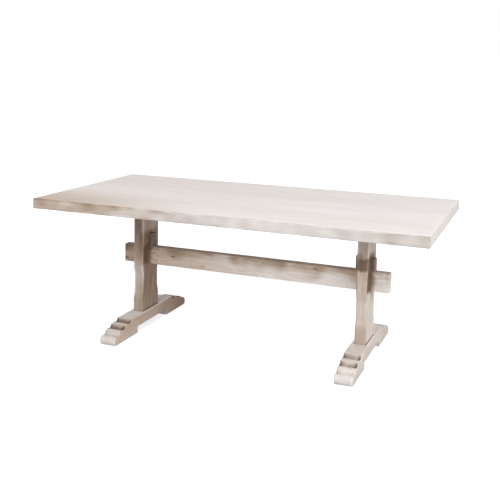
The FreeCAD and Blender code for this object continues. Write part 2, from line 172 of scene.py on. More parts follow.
def blend_colours(tree, share, first, second):
    """The first colour where share is 0, the second where it is 1.

    A Mix node takes its colours on inputs 6 and 7, and gives the mixed one on output 2.
    """
    inputs = {0: share, 6: (*first, 1.0), 7: (*second, 1.0)}
    node = add_node(tree, "ShaderNodeMix", inputs, data_type="RGBA")
    return node.outputs[2]


def ease_between(tree, value, low, high, start=0.0, end=1.0):
    """A smooth step from start to end, as a value goes from low to high."""
    node = add_node(tree, "ShaderNodeMapRange", {0: value, 1: low, 2: high, 3: start, 4: end},
                    interpolation_type="SMOOTHSTEP")
    return node.outputs[0]


def stretched_noise(tree, place, scales, detail=4.0, roughness=0.55, distortion=0.0, shift=NO_SHIFT):
    """Noise with its own scale along each axis of the place."""
    mapping = add_node(tree, "ShaderNodeMapping", {"Vector": place, "Scale": scales, "Location": shift})
    node = add_node(tree, "ShaderNodeTexNoise", {
        "Vector": mapping.outputs[0], "Scale": 1.0, "Detail": detail, "Roughness": roughness,
        "Distortion": distortion})
    return node.outputs["Fac"]


def scattered_cells(tree, place, scales):
    """A net of scattered cells: how far a place is from the nearest heart, and that cell's own colour."""
    mapping = add_node(tree, "ShaderNodeMapping", {"Vector": place, "Scale": scales})
    cells = add_node(tree, "ShaderNodeTexVoronoi", {
        "Vector": mapping.outputs[0], "Scale": 1.0, "Randomness": 1.0}, feature="F1")
    return cells.outputs["Distance"], cells.outputs["Color"]


def object_place(tree):
    return add_node(tree, "ShaderNodeTexCoord").outputs["Object"]


def split_axes(tree, vector):
    return add_node(tree, "ShaderNodeSeparateXYZ", {0: vector}).outputs


def read_attribute(tree, name):
    node = add_node(tree, "ShaderNodeAttribute", attribute_name=name, attribute_type="GEOMETRY")
    return node.outputs["Fac"]


def start_material(name):
    material = bpy.data.materials.new(name)
    material.use_nodes = True
    tree = material.node_tree
    return material, tree, tree.nodes["Principled BSDF"]


def set_surface(tree, shader, colour, roughness):
    link_or_set(tree, shader.inputs["Base Color"], colour)
    link_or_set(tree, shader.inputs["Roughness"], roughness)


def add_relief(tree, shader, height, strength, depth):
    bump = add_node(tree, "ShaderNodeBump", {"Strength": strength, "Distance": depth, "Height": height})
    link_or_set(tree, shader.inputs["Normal"], bump.outputs[0])


# The wood's own figure

def grain_place(tree, grain_axis, shift):
    """Object coordinates with the grain along the first axis, moved to a fresh stretch of wood."""
    parts = split_axes(tree, object_place(tree))
    order = {"X": (0, 1, 2), "Y": (1, 0, 2), "Z": (2, 1, 0)}[grain_axis]
    inputs = {number: parts[axis] for number, axis in enumerate(order)}
    turned = add_node(tree, "ShaderNodeCombineXYZ", inputs)
    moved = add_node(tree, "ShaderNodeVectorMath", {0: turned.outputs[0], 1: shift}, operation="ADD")
    return moved.outputs[0]


def board_shift(tree, board_width, half_width):
    """A fresh stretch of wood and its own tone for each board of the top, by its place across it."""
    across = split_axes(tree, object_place(tree))[1]
    from_front = calc(tree, "ADD", across, half_width)
    number = calc(tree, "FLOOR", calc(tree, "DIVIDE", from_front, board_width))
    random = add_node(tree, "ShaderNodeTexWhiteNoise", {"W": number}, noise_dimensions="1D")
    shift = add_node(tree, "ShaderNodeVectorMath", {0: random.outputs["Color"], 1: BOARD_SPREAD},
                     operation="MULTIPLY")
    return shift.outputs[0], random.outputs["Value"]


def year_rings(tree, place, heart):
    """Dark late wood of the year rings round the tree's heart, wavering along the grain."""
    waver = stretched_noise(tree, place, WAVER_SCALE, detail=3.0)
    parts = split_axes(tree, place)
    aside = calc(tree, "SUBTRACT", parts[1], heart[0])
    above = calc(tree, "SUBTRACT", parts[2], heart[1])
    squares = calc(tree, "MULTIPLY_ADD", aside, aside, calc(tree, "MULTIPLY", above, above))
    reach = add_share(tree, calc(tree, "SQRT", squares), waver, 0.10)
    year = calc(tree, "FRACT", calc(tree, "DIVIDE", reach, YEAR_WIDTH))
    rise = ease_between(tree, year, 0.2, 0.85)
    fall = ease_between(tree, year, 0.88, 1.0, 1.0, 0.0)
    return calc(tree, "MULTIPLY", rise, fall)


def knots(tree, place):
    """Scattered knots: 1 at their hearts, falling to 0 at the radius."""
    distance, _ = scattered_cells(tree, place, KNOT_SCALE)
    return ease_between(tree, distance, KNOT_RADIUS, KNOT_RADIUS * 0.2)


def pin_knots(tree, place, share):
    """Small dark knots, a few millimetres across, in the given share of the cells of a coarse net."""
    distance, own_colour = scattered_cells(tree, place, PIN_KNOT_SCALE)
    drawn = calc(tree, "LESS_THAN", split_axes(tree, own_colour)[0], share)
    return calc(tree, "MULTIPLY", drawn, ease_between(tree, distance, 0.17, 0.05))


def wash_lines(tree, place):
    """Thin wandering lines of thicker wash, in scattered patches."""
    field = stretched_noise(tree, place, WASH_LINE_SCALE, detail=1.5, roughness=0.5, distortion=1.6)
    off_line = calc(tree, "ABSOLUTE", calc(tree, "SUBTRACT", field, 0.5))
    line = ease_between(tree, off_line, 0.006, 0.045, 1.0, 0.0)
    area = stretched_noise(tree, place, WASH_AREA_SCALE, detail=1.0, shift=(2.0, 6.0, 3.0))
    return calc(tree, "MULTIPLY", line, ease_between(tree, area, 0.50, 0.60))


def wood_figure(tree, place, heart):
    """All that shows through the wash, each part as a value from about 0 to 1."""
    return {
        "fibre": stretched_noise(tree, place, FIBRE_SCALE, detail=3.0, roughness=0.6),
        "streak": stretched_noise(tree, place, STREAK_SCALE, detail=5.0, roughness=0.62, distortion=0.5),
        "cloud": stretched_noise(tree, place, CLOUD_SCALE, detail=3.0, roughness=0.5, distortion=0.6),
        "late_wood": year_rings(tree, place, heart),
        "knot": knots(tree, place),
    }


# Limewashed wood

def wash_level(tree, figure, tone, wash, patches, rings, edge, knot_share):
    """How much wash lies at a place, from 0 to 1, where the figure, stain with painted shade and painted
    light, and worn edges break it.
    """
    # The stain attribute holds glaze with painted shade, and painted light where it is below 0
    stain_and_light_by_streak = ease_between(tree, figure["streak"], 0.25, 0.6, 0.75, 1.1)
    broken_stain_and_painted_light = calc(tree, "MULTIPLY", read_attribute(tree, "stain_and_painted_light"), stain_and_light_by_streak)
    worn_by_cloud = ease_between(tree, figure["cloud"], 0.42, 0.66)
    broken_edge = calc(tree, "MULTIPLY", read_attribute(tree, "edge"), worn_by_cloud)
    level = add_share(tree, wash, figure["cloud"], patches * PATCH_SHARE, 0.5)
    level = add_share(tree, level, figure["streak"], patches * PATCH_SHARE, 0.5)
    level = add_share(tree, level, figure["fibre"], FIBRE_SHARE, 0.5)
    level = add_share(tree, level, figure["late_wood"], -rings)
    level = add_share(tree, level, tone, TONE_SHARE, 0.5)
    level = add_share(tree, level, broken_stain_and_painted_light, STAIN_AND_PAINTED_LIGHT_SHARE)
    level = add_share(tree, level, broken_edge, edge)
    return add_share(tree, level, figure["knot"], -knot_share)


def tone_of_wash(tree, level):
    """The colour of the wood for how much limewash lies on it."""
    ramp = add_node(tree, "ShaderNodeValToRGB", {0: level})
    stops = ramp.color_ramp.elements
    while len(stops) < len(WOOD_TONES):
        stops.new(0.5)
    for stop, (position, colour) in zip(stops, WOOD_TONES):
        stop.position = position
        stop.color = (*colour, 1.0)
    return ramp.outputs[0]


def washed_colour(tree, place, level, tone, richness, blush):
    """The tone of the wash with its depth of colour, and with a hue that wanders over the piece."""
    depth = ease_between(tree, level, 0.35, 0.75, richness, read_attribute(tree, "warmth"))
    tint = stretched_noise(tree, place, TINT_SCALE, detail=2.0, shift=(4.0, 9.0, 2.0))
    middle = OWN_HUE - blush
    hue = ease_between(tree, tint, 0.3, 0.7, middle - HUE_WANDER, middle + HUE_WANDER)
    toned = add_node(tree, "ShaderNodeHueSaturation", {
        "Hue": hue, "Saturation": depth, "Value": add_share(tree, 1.0, tone, 0.015, 0.5),
        "Color": tone_of_wash(tree, level)})
    return toned.outputs[0]


def wood_relief(tree, figure):
    """The height of the surface: the late wood and the knots lie lower."""
    relief = calc(tree, "MULTIPLY", figure["fibre"], 0.55)
    relief = add_share(tree, relief, figure["late_wood"], -0.5)
    relief = add_share(tree, relief, figure["streak"], 0.5)
    return add_share(tree, relief, figure["knot"], -0.7)


def limewashed_wood(name, grain_axis, wash, patches, rings, edge, heart, shift=NO_SHIFT, knot_share=0.6,
                    pins=0.0, lines=0.0, gloss=0.0, richness=1.0, blush=0.003, boards=None):
    """Wood under a thin limewash. The wash is broken by patches, year rings, knots, stain with painted
    shade and painted light, and worn edges.

    Patches, rings, edge, knot_share and lines are how strongly each of them shows, and pins is the share
    of small knots. Heart is where the tree's heart lies, across the grain. Richness is how strong the
    colour of bare wood is, while the washed wood takes its own from the warmth attribute. Blush turns the
    hue towards red. Boards, for the top alone, are the width of a board and half the width of the top.
    """
    material, tree, shader = start_material(name)
    tone = 0.5
    if boards:
        shift, tone = board_shift(tree, *boards)
    place = grain_place(tree, grain_axis, shift)
    figure = wood_figure(tree, place, heart)
    level = wash_level(tree, figure, tone, wash, patches, rings, edge, knot_share)
    if pins:
        level = add_share(tree, level, pin_knots(tree, place, pins), PIN_KNOT_SHARE)
    if lines:
        level = add_share(tree, level, wash_lines(tree, place), lines)
    roughness = add_share(tree, 0.50 - gloss, figure["fibre"], 0.22)
    roughness = add_share(tree, roughness, read_attribute(tree, "stain_and_painted_light"), -0.05)
    set_surface(tree, shader, washed_colour(tree, place, level, tone, richness, blush), roughness)
    shader.inputs["Specular IOR Level"].default_value = 0.3 + gloss
    add_relief(tree, shader, wood_relief(tree, figure), strength=0.45, depth=0.0008)
    return material


# The other materials

def stained_wood(name):
    """The keys' dark brown stain over close grain."""
    material, tree, shader = start_material(name)
    place = grain_place(tree, "X", NO_SHIFT)
    streak = stretched_noise(tree, place, KEY_STREAK_SCALE)
    cloud = stretched_noise(tree, place, KEY_CLOUD_SCALE, detail=2.0)
    light = calc(tree, "MULTIPLY", cloud, 0.7)
    light = add_share(tree, light, streak, 0.6)
    light = add_share(tree, light, read_attribute(tree, "edge"), 0.2)
    # Painted light: the stain attribute makes the keys' end faces paler than their sides
    light = add_share(tree, light, read_attribute(tree, "stain_and_painted_light"), 0.7)
    light = ease_between(tree, light, 0.45, 1.05)
    colour = blend_colours(tree, light, DARK_STAIN, STAIN_LIGHT)
    set_surface(tree, shader, colour, add_share(tree, 0.6, streak, 0.2))
    shader.inputs["Specular IOR Level"].default_value = 0.25
    add_relief(tree, shader, streak, strength=0.4, depth=0.0006)
    return material


def planed_wood(name):
    """The loose tongues: clean planed wood, never washed."""
    material, tree, shader = start_material(name)
    streak = stretched_noise(tree, grain_place(tree, "X", NO_SHIFT), PLANED_STREAK_SCALE)
    colour = blend_colours(tree, streak, PLANED_WOOD, PLANED_STREAK)
    set_surface(tree, shader, colour, add_share(tree, 0.5, streak, 0.15))
    return material


def zinc_plate(name):
    """Satin zinc on the screws and washers, with faint dull spots."""
    material, tree, shader = start_material(name)
    spots = stretched_noise(tree, object_place(tree), ZINC_SPOT_SCALE)
    colour = blend_colours(tree, ease_between(tree, spots, 0.4, 0.7), ZINC, ZINC_DULL)
    set_surface(tree, shader, colour, add_share(tree, 0.28, spots, 0.25))
    shader.inputs["Metallic"].default_value = 1.0
    return material


# Worn pieces, made from the solids

def clamp(value):
    return min(1.0, max(0.0, value))


def weld_solid(node_name):
    """The solid's mesh with its loose triangles joined, and its flat faces whole."""
    mesh = bmesh.new()
    mesh.from_mesh(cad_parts[node_name].data)
    bmesh.ops.remove_doubles(mesh, verts=mesh.verts, dist=WELD)
    bmesh.ops.dissolve_limit(mesh, angle_limit=FLAT_BELOW, verts=mesh.verts, edges=mesh.edges,
                             use_dissolve_boundaries=False)
    return mesh


def slice_mesh(mesh, low, high, spacing, marks):
    """Even cuts across all three axes and one at each mark, so that it can take wear and stain."""
    for axis in range(3):
        normal = Vector([1.0 if number == axis else 0.0 for number in range(3)])
        count = max(1, round((high[axis] - low[axis]) / spacing))
        places = [low[axis] + (high[axis] - low[axis]) * cut / count for cut in range(1, count)]
        places += [at for mark_axis, at in marks if mark_axis == axis]
        for at in places:
            bmesh.ops.bisect_plane(mesh, geom=mesh.verts[:] + mesh.edges[:] + mesh.faces[:], dist=WELD,
                                   plane_co=normal * at, plane_no=normal)


def lies_on(vert, line):
    return abs(vert.co.y - line) < ON_LINE


def in_a_joint(edge, joints):
    return any(all(lies_on(vert, line) for vert in edge.verts) for line in joints)


def find_arrises(mesh, joints):
    """Points along every outer edge, to find how far a place is from one. Glued joints don't count."""
    points = []
    for edge in mesh.edges:
        outer = len(edge.link_faces) == 2 and edge.calc_face_angle_signed(0.0) > SHARP_ABOVE
        if outer and not in_a_joint(edge, joints):
            first, last = (vert.co.copy() for vert in edge.verts)
            points += [first, (first + last) / 2, last]
    tree = kdtree.KDTree(len(points))
    for number, point in enumerate(points):
        tree.insert(point, number)
    tree.balance()
    return tree


def rub_away(place, loss):
    """How much wood is gone at a place on an edge: a little all along, and a chip here and there."""
    swell = noise.noise(place * SWELLS_PER_METRE)
    nick = noise.noise(place * NICKS_PER_METRE + Vector((3.1, 7.7, 1.3)))
    chip = max(0.0, noise.noise(place * CHIPS_PER_METRE + Vector((9.2, 2.4, 5.5))) - CHIPS_ABOVE)
    return loss * max(0.0, 0.5 + 0.5 * swell + 0.35 * nick + 4.0 * chip)


def mark_stain_and_painted_light(mesh, stain_and_painted_light_at):
    """Writes how dark the stain and the painted shade are, or how much painted light lifts them, and how
    warm the wash is, at each corner of each face.

    Both come from the function given, which takes the corner's place and the way that the face looks.
    """
    # The stain layer carries painted shade and painted light besides the brown glaze
    stain_and_painted_light = mesh.loops.layers.float.new("stain_and_painted_light")
    warmth = mesh.loops.layers.float.new("warmth")
    for face in mesh.faces:
        for corner in face.loops:
            corner[stain_and_painted_light], corner[warmth] = stain_and_painted_light_at(corner.vert.co, face.normal)


def wear_edges(mesh, arrises, loss, joints):
    """Moves the outer edges inwards, and writes how close each point is to one."""
    edge_layer = mesh.verts.layers.float.new("edge")
    moves = {}
    for vert in mesh.verts:
        distance = arrises.find(vert.co)[2]
        vert[edge_layer] = clamp(1.0 - distance / EDGE_BAND)
        if distance < ON_LINE:
            move = -vert.normal * rub_away(vert.co, loss)
            if any(lies_on(vert, line) for line in joints):
                move.y = 0.0
            moves[vert] = move
    for vert, move in moves.items():
        vert.co += move


def add_piece(mesh, node_name, material):
    """Shows a mesh in place of the solid that it was made from."""
    data = bpy.data.meshes.new(f"{node_name}_worn")
    mesh.to_mesh(data)
    mesh.free()
    data.materials.append(material)
    data.shade_smooth()
    data.set_sharp_from_angle(angle=SMOOTH_BELOW)
    piece = bpy.data.objects.new(f"{node_name}_worn", data)
    bpy.context.scene.collection.objects.link(piece)
    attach(piece, "root")
    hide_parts(node_name)


def worn_piece(node_name, material, stain_and_painted_light_at, spacing, loss=EDGE_LOSS, joints=(), marks=()):
    """A piece of the table with eased, slightly chipped edges, made from the solid of the same name.

    Joints are the places across the table where boards are glued, which don't wear. Marks are pairs of
    an axis and the place on it where the stain needs a cut.
    """
    mesh = weld_solid(node_name)
    low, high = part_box(node_name)
    slice_mesh(mesh, low, high, spacing, marks)
    arrises = find_arrises(mesh, joints)
    mesh.normal_update()
    mark_stain_and_painted_light(mesh, stain_and_painted_light_at)
    wear_edges(mesh, arrises, loss, joints)
    add_piece(mesh, node_name, material)


def paint_solid(node_name, material):
    """A finish on a solid that is shown as it is."""
    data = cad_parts[node_name].data
    data.materials.clear()
    data.materials.append(material)


# Stain and painted shade: brown glaze left in the joints, coves and hollows when the wash was wiped,
# deepened by painted shade beside the joints, under the top, in the coves and round the posts' feet, with
# painted light on a few shaded places

# Painted contact shadow: how far the dark line reaches where a post stands on its foot
CONTACT_SHADE_BAND = 0.006
TOP_RIM = 0.7515
RIM_BLEND = 0.003

# A face looks along an axis where its direction has more than this share

FACES_ALONG = 0.7

# Where the coves lie on a foot, as distances from its end, the innermost first

COVES = ((0.145, 0.171), (0.081, 0.107), (0.025, 0.051))
LANDING_FROM = COVES[0][1]
STEPS_FROM = COVES[-1][1]


def fade(distance, reach):
    """1 at no distance or less, falling smoothly to 0 at the reach."""
    share = clamp(1.0 - distance / reach)
    return share * share * (3.0 - 2.0 * share)


def outside(value, low, high):
    """How far a value lies outside a range."""
    return max(low - value, value - high, 0.0)


def squeezed(place, along_x=1.0, along_z=1.0):
    """A place for blotches that are drawn out along an axis, where its share is below 1."""
    return Vector((place.x * along_x, place.y, place.z * along_z))


def blotch(place, size, seed):
    """A soft patchy value from 0 to 1 with patches of the given size."""
    elsewhere = Vector((seed, seed * 2.3, seed * 0.7))
    return clamp(0.5 + 0.9 * noise.noise(place / size + elsewhere))


def post_stain_and_painted_light(side, glaze_and_painted_light, key_mark, warmth):
    """Dark beside the stretcher on the wide faces, and beside the key on the narrow ones. On the wide
    faces the dark beside the stretcher and the key is painted shade over a little glaze; on the narrow
    faces the dark above the stretcher and by the +X arris is painted shade.

    Glaze is the strength of the stain all over, of the painted shade on the narrow faces and of the
    painted light high on the wide faces, and key_mark that of the dark patch round the key and of the
    painted shade beside the key.
    Warmth is for the wide faces and the narrow ones.
    """
    post_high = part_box(f"{side}_post")[1]
    bar_low, bar_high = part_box("stretcher")
    key_low, key_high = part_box(f"{side}_key")
    foot_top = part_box(f"{side}_foot")[1].z

    # Painted contact shadow along the post's foot
    def contact_shade(place):
        return fade(abs(place.z - foot_top), CONTACT_SHADE_BAND)

    def streaks(place):
        return 0.6 + 0.8 * blotch(squeezed(place, along_z=0.15), size=0.025, seed=8.0)

    def on_wide_face(place):
        high_up = 1.0 - fade(place.z - key_high.z, 0.03)
        low_down = fade(place.z - foot_top, 0.16)
        plain = 1.2 * glaze_and_painted_light * streaks(place) * (1.0 - 0.6 * low_down) * (1.0 - 0.8 * high_up)
        ragged = blotch(squeezed(place, along_z=0.3), size=0.035, seed=6.0)
        # Painted shade over a little glaze on the wide faces beside the stretcher and the key
        shade_by_bar = fade(outside(place.z, bar_low.z + 0.016, bar_high.z), 0.006 + 0.040 * ragged)
        shade_by_key = fade(outside(place.z, key_low.z, key_high.z), 0.004 + 0.045 * ragged)
        away_from_back = 1.0 - 0.65 * fade(post_high.y - place.y, 0.12)
        joint_shade = away_from_back * max((0.50 + 0.6 * key_mark) * shade_by_bar, key_mark * shade_by_key)
        darkest = max(plain, joint_shade, 1.1 * contact_shade(place))
        # Painted light: above the key, where the top shades them, the wide faces are made paler and
        # warmer
        return darkest - 1.1 * glaze_and_painted_light * high_up, warmth[0] + 0.3 * high_up

    def on_narrow_face(place):
        patchy = blotch(place, size=0.03, seed=3.0)
        plain = (0.5 * glaze_and_painted_light + 0.08) * streaks(place) + 0.14 * fade(place.z - foot_top, 0.25)
        # Painted shade: the narrow faces darken above the stretcher, where the top shades them
        shade_under_top = 1.6 * glaze_and_painted_light * fade(bar_high.z - place.z, 0.16)
        above_key = fade(place.z - key_high.z + 0.010, 0.022 + 0.04 * patchy)
        below_key = fade(key_low.z + 0.026 - place.z, 0.014 + 0.018 * patchy)
        beside_key = key_mark * above_key * below_key * (0.85 + 0.35 * patchy)
        run = key_mark * fade(key_low.z - place.z, 0.12)
        darkest = max(plain, shade_under_top, beside_key, 0.18 * run, 0.25 * contact_shade(place))
        # Painted shade by the +X arris, between the stretcher and the key's top
        by_joint = fade(outside(place.z, bar_low.z + 0.012, key_high.z), 0.030)
        shade_beside_bar = 1.5 * glaze_and_painted_light * fade(post_high.x - place.x, 0.034) * by_joint
        return darkest + shade_beside_bar, warmth[1] + 0.45 * run

    def stain_and_painted_light_at(place, facing):
        return on_wide_face(place) if abs(facing.x) > FACES_ALONG else on_narrow_face(place)

    return stain_and_painted_light_at


def foot_stain_and_painted_light(side, glaze_and_painted_light, sides, landing, coves, nose, warmth):
    """Dark in the coves, darkest at their ends, and round the foot of the post. The noses stay pale. The
    coves hold glaze, made darkest at their ends by painted shade; round the post's foot lies a painted
    contact shadow, and behind the post the top gets painted light.

    Sides, landing, coves and nose are the stain's strengths there; on the landing in front of the post
    the stain is partly painted shade. Warmth is for the sides and the carved tops, and last what the tops
    gain inside the outermost cove.
    """
    low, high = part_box(f"{side}_foot")
    post_low, post_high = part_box(f"{side}_post")

    def on_side(place, patchy):
        far = (place.y - low.y) / (high.y - low.y)
        return sides * (1.15 - 0.6 * far) + glaze_and_painted_light * (0.3 * patchy + 2.5 * far ** 4), warmth[0]

    def in_coves(place, from_end, patchy):
        at_side = fade(min(place.x - low.x, high.x - place.x), 0.026)
        # Glaze in the coves, with painted shade making them darkest at the foot's sides
        strength = 0.62 + 0.45 * patchy + 0.9 * at_side
        return max(fade(outside(from_end, start - 0.002, end - 0.005), 0.011) * depth * strength
                   for (start, end), depth in zip(COVES, coves))

    # Painted contact shadow on the foot's top round the post's base
    def shade_round_post(place):
        beside = fade(outside(place.x, post_low.x, post_high.x), CONTACT_SHADE_BAND)
        past_post = max(0.0, abs(place.y) - post_high.y)
        strength = 0.4 if past_post > 0.0 else 0.95
        return strength * beside * fade(past_post, CONTACT_SHADE_BAND)

    def on_top(place, patchy):
        from_end = min(place.y - low.y, high.y - place.y)
        on_landing = fade(LANDING_FROM - from_end, 0.02)
        on_steps = fade(STEPS_FROM - from_end, 0.02)
        # Painted light: behind the post, where the table's top shades the foot, it is made paler and
        # warmer
        painted_light_behind_post = fade(post_high.y - place.y, 0.02)
        plain = 0.0
        # Stain on the landing in front of the post, partly painted shade
        if place.y < post_low.y:
            plain = landing * on_landing * (0.7 + 0.6 * patchy)
        if from_end < LANDING_FROM:
            plain = max(plain, nose * (0.7 + 0.6 * patchy))
        darkest = max(plain, in_coves(place, from_end, patchy), shade_round_post(place))
        warm = warmth[1] + warmth[2] * on_steps + 0.7 * painted_light_behind_post
        return darkest - 0.30 * painted_light_behind_post * on_landing, warm

    def stain_and_painted_light_at(place, facing):
        patchy = blotch(place, size=0.03, seed=5.0)
        return on_side(place, patchy) if abs(facing.x) > FACES_ALONG else on_top(place, patchy)

    return stain_and_painted_light_at


def stretcher_stain_and_shade():
    """Brown along the top, hanging down in soft blotches, and dark where the posts begin. The brown along
    the top is painted shade from the table's top over a little stain, and the dark on the +X side of each
    post is painted shade. Darker towards the left end, partly painted shade for the light that falls off
    towards the left.
    """
    low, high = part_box("stretcher")
    left_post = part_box("left_post")
    right_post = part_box("right_post")

    def stain_and_painted_light_at(place, facing):
        # Painted shade: the stretcher's top face lies in the table top's shade
        if facing.z > FACES_ALONG:
            return 0.55, 1.3
        from_top = (high.z - place.z) / (high.z - low.z)
        along = squeezed(place, along_z=0.4)
        # Painted shade hanging down from the stretcher's top, where the table's top shades it, over a
        # little stain
        hanging_shade = fade(from_top, 0.20 + 0.75 * blotch(along, size=0.09, seed=6.0))
        darkest = (0.16 + 0.50 * blotch(along, size=0.06, seed=2.0)) * hanging_shade
        warmth = 1.3
        # Darker beyond the left post and towards the left end, paler beyond the right post: partly
        # painted shade for the light that falls off towards the left
        if place.x < left_post[0].x:
            darkest += 0.30
        if place.x > right_post[1].x:
            darkest *= 0.6
            warmth = 0.85
        for post_low, post_high in (left_post, right_post):
            # Painted shade on the +X side of each post, and a thin dark joint line on the other side
            if place.x > (post_low.x + post_high.x) / 2:
                reach = 0.022 + 0.05 * (1.0 - from_top) * blotch(place, size=0.02, seed=4.0)
                darkest = max(darkest, (0.85 - 0.4 * from_top) * fade(place.x - post_high.x, reach))
            else:
                darkest = max(darkest, 0.45 * fade(post_low.x - place.x, 0.014))
        return darkest + 0.28 * fade(place.x - low.x, 0.95), warmth

    return stain_and_painted_light_at


def board_stain_and_shade(low, high):
    """Tan towards the top's left end, partly painted shade for the light that falls off towards the left,
    and brown along the front's rim.
    """

    def on_front(place, from_left, patchy):
        rim = (0.07 + 0.24 * patchy) * fade(from_left, 1.1) if place.z > TOP_RIM else 0.0
        at_right = fade(high.x - place.x, 0.7)
        glaze_and_painted_light = 0.33 + 0.30 * fade(from_left - 0.25, 0.95) + 0.16 * at_right
        return glaze_and_painted_light * (0.72 + 0.55 * patchy) + rim, 0.50 + 0.4 * fade(from_left, 0.9)

    def stain_and_painted_light_at(place, facing):
        from_left = place.x - low.x
        from_front = place.y - low.y
        patchy = blotch(squeezed(place, along_x=0.6), size=0.04, seed=1.0)
        flat_on_top = facing.z > 0.9
        upper_front_arris = facing.y < -0.2 and facing.z > 0.2
        front_or_underside = facing.y < -0.5 or facing.z < -0.5
        # Towards the left end the top, its front arris and its front are darker: partly painted shade for
        # the light that falls off to the left
        if flat_on_top:
            warm = 0.85 + 0.45 * fade(from_left, 2.0)
            return 0.46 * fade(from_left, 1.0) * fade(from_front, 0.45), warm
        if upper_front_arris:
            return 0.32 + 0.75 * fade(from_left, 1.1) * (0.45 + 0.55 * patchy), 0.7
        if front_or_underside:
            return on_front(place, from_left, patchy)
        return 0.16, 0.8

    return stain_and_painted_light_at


def bearer_stain(place, facing):
    """The same thin glaze all over a bearer."""
    return 0.35, 1.0


def key_painted_end_light(place, facing):
    """Painted light: a key's end faces are paler than its shaded sides. The keys' finish has no wash to
    warm.
    """
    return (0.45 if abs(facing.x) > FACES_ALONG else 0.0), 1.0


# The table

BOARD_NAMES = [f"top_board_{number}" for number in range(1, 8)]


def make_top():
    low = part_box(BOARD_NAMES[0])[0]
    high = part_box(BOARD_NAMES[-1])[1]
    width = high.y - low.y
    board_width = width / len(BOARD_NAMES)
    joints = [low.y + board_width * number for number in range(1, len(BOARD_NAMES))]
    finish = limewashed_wood("limewashed_top", "X", wash=0.98, patches=0.11, rings=0.03, edge=-0.06,
                             heart=(0.0, 0.55), knot_share=0.08, gloss=0.08, richness=1.05,
                             boards=(board_width, width / 2))
    marks = [(Z_AXIS, TOP_RIM), (Z_AXIS, TOP_RIM - RIM_BLEND)]
    stain_and_painted_light_at = board_stain_and_shade(low, high)
    for name in BOARD_NAMES:
        worn_piece(name, finish, stain_and_painted_light_at, spacing=0.016, loss=TOP_EDGE_LOSS, joints=joints, marks=marks)


def make_post(side, wash, patches, glaze_and_painted_light, key_mark, warmth):
    finish = limewashed_wood(f"limewashed_{side}_post", "Z", wash=wash, patches=patches, rings=0.07,
                             edge=0.32, heart=(0.03, 0.45), shift=(TRESTLE_WOOD[side], 0.31, 0.0),
                             pins=0.08, lines=0.06, richness=1.15)
    bar_low, bar_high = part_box("stretcher")
    foot_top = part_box(f"{side}_foot")[1].z
    heights = (foot_top + CONTACT_SHADE_BAND, bar_low.z - CONTACT_SHADE_BAND, bar_low.z,
               bar_high.z, bar_high.z + CONTACT_SHADE_BAND)
    marks = [(Z_AXIS, height) for height in heights]
    stain_and_painted_light_at = post_stain_and_painted_light(side, glaze_and_painted_light, key_mark, warmth)
    worn_piece(f"{side}_post", finish, stain_and_painted_light_at, spacing=0.008, marks=marks)


def make_foot(side, wash, glaze_and_painted_light, sides, landing, coves, nose, warmth, blush):
    finish = limewashed_wood(f"limewashed_{side}_foot", "Y", wash=wash, patches=0.24, rings=0.04,
                             edge=0.10, heart=(0.2, -0.12), shift=(2.3, TRESTLE_WOOD[side], 0.0),
                             knot_share=0.2, richness=0.85, blush=blush)
    post_low, post_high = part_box(f"{side}_post")
    marks = []
    for axis in (X_AXIS, Y_AXIS):
        marks += [(axis, post_low[axis]), (axis, post_low[axis] - CONTACT_SHADE_BAND)]
        marks += [(axis, post_high[axis]), (axis, post_high[axis] + CONTACT_SHADE_BAND)]
    stain_and_painted_light_at = foot_stain_and_painted_light(side, glaze_and_painted_light, sides, landing, coves, nose, warmth)
    worn_piece(f"{side}_foot", finish, stain_and_painted_light_at, spacing=0.007, marks=marks)


def make_bearer(side, wash):
    finish = limewashed_wood(f"limewashed_{side}_bearer", "Y", wash=wash, patches=0.34, rings=0.12,
                             edge=0.15, heart=(0.1, 0.5), shift=(5.1, TRESTLE_WOOD[side], 0.0),
                             richness=1.15)
    worn_piece(f"{side}_bearer", finish, bearer_stain, spacing=0.012)


def make_key(side):
    finish = stained_wood(f"stained_{side}_key")
    worn_piece(f"{side}_key", finish, key_painted_end_light, spacing=0.006)


def make_left_trestle():
    """The browner trestle, which shows more wood. Its stronger glaze and thinner wash are partly painted
    shade, for the light that falls off towards the left.
    """
    wash = 0.68
    glaze_and_painted_light = 0.20
    make_post("left", wash, patches=0.40, glaze_and_painted_light=glaze_and_painted_light, key_mark=0.20, warmth=(1.3, 0.65))
    make_foot("left", wash=0.84, glaze_and_painted_light=glaze_and_painted_light, sides=0.0, landing=0.0, coves=(0.80, 0.85, 0.15),
              nose=0.03, warmth=(1.65, 0.70, 0.0), blush=0.011)
    make_bearer("left", wash)
    make_key("left")


def make_right_trestle():
    """The paler trestle, with a dark patch round its key, which on the post's wide faces is painted
    shade.
    """
    wash = 0.83
    glaze_and_painted_light = 0.04
    make_post("right", wash, patches=0.38, glaze_and_painted_light=glaze_and_painted_light, key_mark=0.95, warmth=(1.15, 0.85))
    make_foot("right", wash=0.93, glaze_and_painted_light=glaze_and_painted_light, sides=0.21, landing=0.20, coves=(0.82, 0.92, 0.30),
              nose=0.19, warmth=(0.95, 0.45, 0.35), blush=0.003)
    make_bearer("right", wash)
    make_key("right")


def make_stretcher():
    finish = limewashed_wood("limewashed_stretcher", "X", wash=0.915, patches=0.36, rings=0.06,
                             edge=0.10, heart=(-0.25, 0.38), shift=(1.7, 0.0, 0.0), pins=0.7,
                             lines=0.14, richness=1.15)
    worn_piece("stretcher", finish, stretcher_stain_and_shade(), spacing=0.010)


def finish_hidden_parts():
    paint_solid("board_splines", planed_wood("planed_tongues"))
    zinc = zinc_plate("zinc_plated_screws")
    for name in ("top_screws", "tenon_screws", "washers"):
        paint_solid(name, zinc)


# The studio

